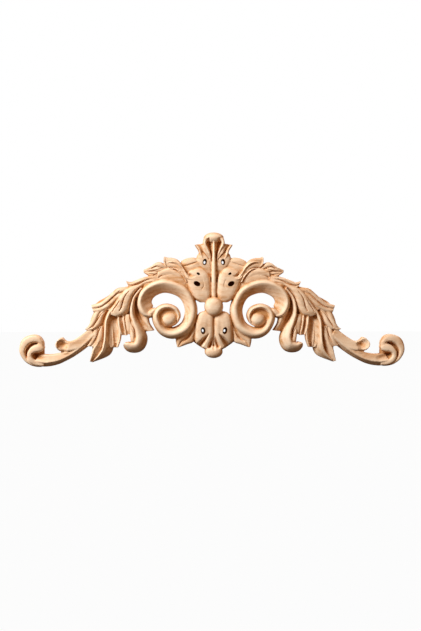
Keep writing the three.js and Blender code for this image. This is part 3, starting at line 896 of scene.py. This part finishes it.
# %% Fine cuts
CUTS = [
    # The spray.
    [[-180, -1.5, 1.6, 2], [-174, 0, 1.8, 3], [-168, 4, 1.8, 3.5], [-160, 11, 1.8, 3], [-145, 25, 1.4, 1]],
    [[-187.5, -32, 1.6, 2], [-184, -26.5, 1.8, 3], [-180, -20.5, 1.8, 3], [-174, -11.5, 1.6, 2],
     [-168, -6.5, 1.4, 1]],
    [[-175, -32, 1.6, 2], [-178, -38, 1.8, 3], [-181, -46, 1.8, 3], [-186, -55, 1.6, 1.5]],
    [[-168, -20, 1.6, 1], [-170, -33, 1.8, 2], [-171, -47, 1.8, 2], [-173, -59, 1.8, 2],
     [-175.5, -67, 1.4, 1]],
    [[-142, -20, 1.8, 1], [-140.6, -30, 2.2, 2.5], [-138.6, -38, 1.8, 1.5]],
    [[-157.5, -28, 2, -0.6], [-156.5, -44, 3.2, -1.8], [-155.5, -60, 3.2, -2.2]],
    [[-131, 24, 1.4, 1.5], [-137, 16.5, 2, 3.5], [-140.6, 8, 2.4, 4.5], [-142.6, 0, 2.4, 4.5],
     [-146, -6.5, 2, 3]],
    [[-146, 9, 1.6, 1.5], [-150, 2.5, 2.2, 3.5], [-154.5, -3.5, 2.2, 3.5], [-157, -8, 1.8, 2]],
    [[-128, 33, 1.4, 1], [-118, 34.3, 1.6, 2.5], [-107.7, 39.5, 1.6, 2.5], [-100, 43.5, 1.4, 1]],
    # The stalk.
    [[-115.4, 28, 1.6, 2], [-125, 15.6, 1.8, 3], [-129.8, 2, 1.8, 3], [-130.6, -11, 1.8, 3],
     [-128.3, -25, 1.8, 2], [-123, -36, 1.6, 2], [-122, -47, 1.4, 1.5]],
    [[-127.6, -34, 1.4, 1], [-124, -41, 1.6, 2], [-123.4, -51, 1.4, 1]],
    [[-138, -54, 1.6, 2], [-129.6, -54.8, 1.8, 2], [-124, -55, 1.4, 1]],
    [[-115.5, 21, 1.6, 2], [-118.6, 7, 2, 3], [-117.5, -8, 2, 2], [-111, -22, 1.8, 1.5]],
    # The crown.
    [[-96, 59.5, 1.8, 3], [-88.3, 63, 1.6, 2]],
    [[-96, 54.7, 1.6, 2], [-86.4, 57.6, 1.6, 2], [-79.6, 60.5, 1.4, 1]],
    [[-94, 48.4, 1.8, 3], [-87.3, 51.8, 1.6, 3]],
    [[-70, 67, 1.4, 0.8], [-62, 66.4, 1.8, 1.8], [-55, 63, 1.6, 0.8]],
    [[-85.4, 45, 2, 3], [-80.6, 48, 1.8, 2], [-71, 49, 1.4, 1]],
    [[-46, 63, 3, 1], [-39, 64.5, 4.5, 1.6], [-31, 67.5, 4, 1.2], [-26, 69.5, 3, 0.6]],
    [[-39, 52.5, 5, 1.5], [-36.5, 48.8, 7.5, 4], [-33, 47, 6, 2], [-30, 47.5, 4, 0.6]],
    [[-18, 41, 1.6, 0.6], [-15.4, 33, 1.6, 1], [-19, 27, 1.6, 0.6]],
    # The palmette.
    [[-8, 105, 5, 3], [-7.4, 98.5, 9, 4], [-5.8, 90, 6.2, 3.2], [-4.2, 80, 3.6, 2.5], [-3.8, 70, 2.4, 1]],
    [[-19, 88, 1.6, 2], [-13, 81, 2, 3.4], [-7, 73.4, 1.8, 2.6]],
    # The shell and its side leaf.
    [[-8.5, -43, 3.2, 1], [-14, -50, 9, 6], [-19.6, -57, 12, 7.5], [-23, -61, 12, 6.5]],
    [[-1.8, -46, 3.2, 1], [-3.8, -54.5, 7, 5.5], [-6.4, -62, 9, 6.5]],
    [[-9, -22, 9, 0.3], [-9.8, -32, 12, 0.7], [-9, -42, 8, 0.6]],
    [[0, -57.5, 4, 1.5], [0, -61.5, 9, 3], [0, -65.5, 7, 1.5]],
    [[0, -15, 1.4, 1.5], [0, -34, 1.6, 2.5], [0, -50, 1.6, 2.5], [0, -64, 1.4, 2]],
    [[-31.6, -36, 2, 1], [-38, -46.7, 4, 2.5], [-47, -54.5, 2, 1]],
    # The tail.
    [[-232, -51, 14, 2], [-233.5, -58, 27, 6.6], [-232, -66, 16, 3]],
    [[-278, -73.4, 6, 2], [-274.2, -75.4, 12, 6], [-269.4, -77.6, 14, 3.8], [-260, -81, 14, 1.4]],
]
print("fine cuts:", len(CUTS))

# %% [markdown]
# ## Press the cuts in
#
# Every point of the front that lies near a line moves back by the line's depth, less towards its sides.
# A narrow cut gets a sharp bottom, and a wide one a round bottom, as from a gouge. A negative depth
# raises a rim. Both halves are cut at once, because the distance is measured with the right half folded
# over to the left.

# %% Press the cuts in
FRONT = 3.5
LEAST_WOOD = 3.0
CUT_REACH = 8.0
CUT_STEP = 0.5
GOUGE_WIDTH = 3.0


def read_points(mesh):
    """A mesh's points in millimetres of the drawing."""
    flat = np.empty(len(mesh.vertices) * 3)
    mesh.vertices.foreach_get("co", flat)
    return flat.reshape(-1, 3) / (MM_ACROSS, MM_DEEP, MM_ACROSS)


def write_points(mesh, points):
    """Put points in millimetres of the drawing back into a mesh."""
    mesh.vertices.foreach_set("co", (points * (MM_ACROSS, MM_DEEP, MM_ACROSS)).ravel())
    mesh.update()


def near_line(folded, line, reach):
    """Which points are near a line, how far from it, and the line's other columns beside each."""
    path = smooth_line(line, even_shares(line, CUT_STEP))
    low = path[:, :2].min(axis=0) - reach
    high = path[:, :2].max(axis=0) + reach
    close = np.flatnonzero(((folded > low) & (folded < high)).all(axis=1))
    gaps = np.hypot(folded[close, 0:1] - path[None, :, 0], folded[close, 1:2] - path[None, :, 1])
    nearest = gaps.argmin(axis=1)
    return close, gaps[np.arange(len(close)), nearest], path[nearest, 2:].T


points = read_points(applique.data)
folded = np.stack([-np.abs(points[:, 0]), points[:, 2]], axis=1)
front = points[:, 1] < -FRONT
uncut = points[:, 1].copy()
for line in CUTS:
    close, gap, (width, depth) = near_line(folded, line, CUT_REACH)
    share = np.clip(1.0 - 2.0 * gap / width, 0.0, 1.0)
    share = np.where(width > GOUGE_WIDTH, share * share * (3.0 - 2.0 * share), share)
    move = depth * share * front[close]
    points[close, 1] = np.minimum(points[close, 1] + move, np.maximum(points[close, 1], -LEAST_WOOD))
write_points(applique.data, points)
print("points moved by the cuts:", np.count_nonzero(points[:, 1] != uncut))

# %% [markdown]
# ## Eyes and the flat back
#
# The eyes are drilled with a Boolean, as a carver drills them when the rest is done. Those of the
# palmette and the shell go right through, from a wide mouth to a narrow end, so that the wall, painted
# dark with shade, shows as a dark ring round a spot of white. Those of the two thick lobes stop in the
# wood. A second Boolean planes the back flat, because an applique is glued down all over.

# %% Eyes
DRILL_LENGTH = 24.0
DRILL_SIDES = 40
THROUGH_RADII = (0.16, 0.60)  # At the back and at the front, as shares of the eye's size.
BLIND_RADII = (0.5, 0.5)
# Each eye is its place, its width and height, its turn in degrees and how far back its drill ends.
EYES = [[-14.2, 69.2, 7.2, 10.6, 8, 3], [-17, -37.5, 7, 10.4, -8, 3], [-26.5, 35.5, 11, 7.4, 27, -5],
        [-24.5, 51, 5.5, 3.7, 27, -5]]


def subtract(thing, tool_shape, name, index):
    """Cut one closed shape out of a piece; the cut faces take the material with that index."""
    bmesh.ops.scale(tool_shape, vec=(MM_ACROSS, MM_DEEP, MM_ACROSS), verts=tool_shape.verts)
    bmesh.ops.recalc_face_normals(tool_shape, faces=tool_shape.faces)
    tool = mesh_object(name, tool_shape, index)
    cut = thing.modifiers.new(name, "BOOLEAN")
    cut.operation = "DIFFERENCE"
    cut.solver = "MANIFOLD"
    cut.object = tool
    bake_modifiers(thing)
    bpy.data.objects.remove(tool)


drills = bmesh.new()
for x, z, wide, tall, turn, end in EYES:
    for side in (1, -1):
        place = Matrix.Translation((side * x, end - DRILL_LENGTH / 2, z))
        tilt = Matrix.Rotation(math.radians(side * turn), 4, "Y")
        oval = Matrix.Diagonal((wide, 1.0, tall, 1.0))
        lie_down = Matrix.Rotation(math.pi / 2, 4, "X")
        back_radius, front_radius = THROUGH_RADII if end > 0 else BLIND_RADII
        bmesh.ops.create_cone(drills, cap_ends=True, segments=DRILL_SIDES, radius1=back_radius,
                              radius2=front_radius, depth=DRILL_LENGTH,
                              matrix=place @ tilt @ oval @ lie_down)
subtract(applique, drills, "drills", EYE_INDEX)
print("drilled:", len(applique.data.polygons), "faces")

# %% Flat back
SLAB = 40.0
SLAB_WIDTH = 1.2 * DRAWN_WIDTH
slab = bmesh.new()
bmesh.ops.create_cube(slab, size=1.0, matrix=Matrix.Translation((0, SLAB / 2, 0))
                      @ Matrix.Diagonal((SLAB_WIDTH, SLAB, DRAWN_WIDTH, 1.0)))
subtract(applique, slab, "plane", WOOD_INDEX)
print("planed:", len(applique.data.polygons), "faces")

# %% [markdown]
# ## Fewer triangles
#
# The skin is as fine on the flat back as in the narrowest vein. A Decimate modifier takes points away
# where the shape is plain and keeps them where it bends. Sandpaper has rounded the carving, so it is
# shaded smooth all over, apart from the edges that the plane and the drills have left.

# %% Thin the mesh
MOST_TRIANGLES = 192000
CORNER = math.radians(50)
ON_THE_BACK = 0.0001


def crisp_tool_edges(mesh):
    """Mark the edges that the plane and the drills leave as sharp, and all others as smooth."""
    shape = bmesh.new()
    shape.from_mesh(mesh)
    for edge in shape.edges:
        drilled = len({face.material_index for face in edge.link_faces}) == 2
        on_back = max(-vertex.co.y for vertex in edge.verts) < ON_THE_BACK
        planed = on_back and edge.calc_face_angle(0.0) > CORNER
        edge.smooth = not (drilled or planed)
    shape.to_mesh(mesh)
    shape.free()


triangles = sum(len(face.vertices) - 2 for face in applique.data.polygons)
applique.modifiers.new("triangles", "TRIANGULATE")
thin = applique.modifiers.new("thin", "DECIMATE")
thin.ratio = min(1.0, MOST_TRIANGLES / triangles)
bake_modifiers(applique)
for face in applique.data.polygons:
    face.use_smooth = True
crisp_tool_edges(applique.data)
print("eye faces:", sum(face.material_index == EYE_INDEX for face in applique.data.polygons))
print("thinned:", triangles, "to", len(applique.data.polygons), "triangles")

# %% [markdown]
# ## Painted shade in the cuts
#
# Shade is painted into the cuts as a warm orange brown, and raised tops come out paler. A height map of
# the front, made with numpy and blurred, tells for each point of the skin how far it lies below its
# neighbours. The outline's walls get less of this painted shade, and the back gets none. The result is
# stored as an attribute of the mesh, which a material reads like a painted mask.

# %% Depth of the cuts
MAP_STEP = 1.0
MAP_SIZE = (640, 260)
MAP_CORNER = (-320.0, -120.0)
BLURS = ((2.5, 0.55), (7.0, 0.45))  # How wide each blur is in mm, and its share of the mask.
WOOD_FROM = 1.0
LEAST_NEAR = 0.05
# A point with less wood than this round it, as a share, stands on one of the outline's walls.
WALL_INSIDE = 0.45
WALL_SPAN = 0.4
WALL_SHARE = 0.3
BACK_HEIGHT = 0.3


def blur(values, sigma):
    """A soft blur along both axes of a map."""
    reach = int(3 * sigma)
    weights = np.exp(-0.5 * (np.arange(-reach, reach + 1) / sigma)**2)
    weights /= weights.sum()
    for axis in (0, 1):
        values = np.apply_along_axis(lambda row: np.convolve(row, weights, mode="same"), axis, values)
    return values


points = read_points(applique.data)
column = np.round((points[:, 0] - MAP_CORNER[0]) / MAP_STEP).astype(int)
row = np.round((points[:, 2] - MAP_CORNER[1]) / MAP_STEP).astype(int)
height = -points[:, 1]
height_map = np.zeros([int(size / MAP_STEP) for size in MAP_SIZE])
np.maximum.at(height_map, (column, row), height)
wood_map = (height_map > WOOD_FROM).astype(float)
cut_shade = np.zeros(len(points))
inside = np.zeros(len(points))
for sigma, share in BLURS:
    wood_near = np.maximum(blur(wood_map, sigma / MAP_STEP), LEAST_NEAR)
    around = blur(height_map, sigma / MAP_STEP) / wood_near
    cut_shade += share * (around[column, row] - height)
    inside = np.maximum(inside, wood_near[column, row])
# The outline's walls get less of the painted shade.
wall_share = np.clip((inside - WALL_INSIDE) / WALL_SPAN, WALL_SHARE, 1.0)
cut_shade = np.where(cut_shade > 0.0, cut_shade * wall_share, cut_shade)
cut_shade[height < BACK_HEIGHT] = 0.0
# The wood material reads this mask to paint shade into the cuts.
mask = applique.data.attributes.new("cut_shade", "FLOAT", "POINT")
mask.data.foreach_set("value", cut_shade.astype(np.float32))
print("cut depth, 5, 50 and 95%:", np.round(np.percentile(cut_shade[height > FRONT], (5, 50, 95)), 2))

# %% [markdown]
# ## Back into the frame
#
# The drawing, the remesh and the smoothing leave the carving's box up to a quarter of a millimetre off
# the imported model's, so the carving is fitted to that box along each axis. Its back stays on the plane of
# the mount.

# %% Fit and finish
flat = np.empty(len(applique.data.vertices) * 3)
applique.data.vertices.foreach_get("co", flat)
flat = flat.reshape(-1, 3)
print("before the fit:", np.round(flat.min(axis=0), 5), np.round(flat.max(axis=0), 5))
for axis in range(3):
    low, high = flat[:, axis].min(), flat[:, axis].max()
    flat[:, axis] = np.interp(flat[:, axis], (low, high), (cad_low[axis], cad_high[axis]))
applique.data.vertices.foreach_set("co", flat.ravel())
applique.data.update()
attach(applique, "root")
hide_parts(NODE)
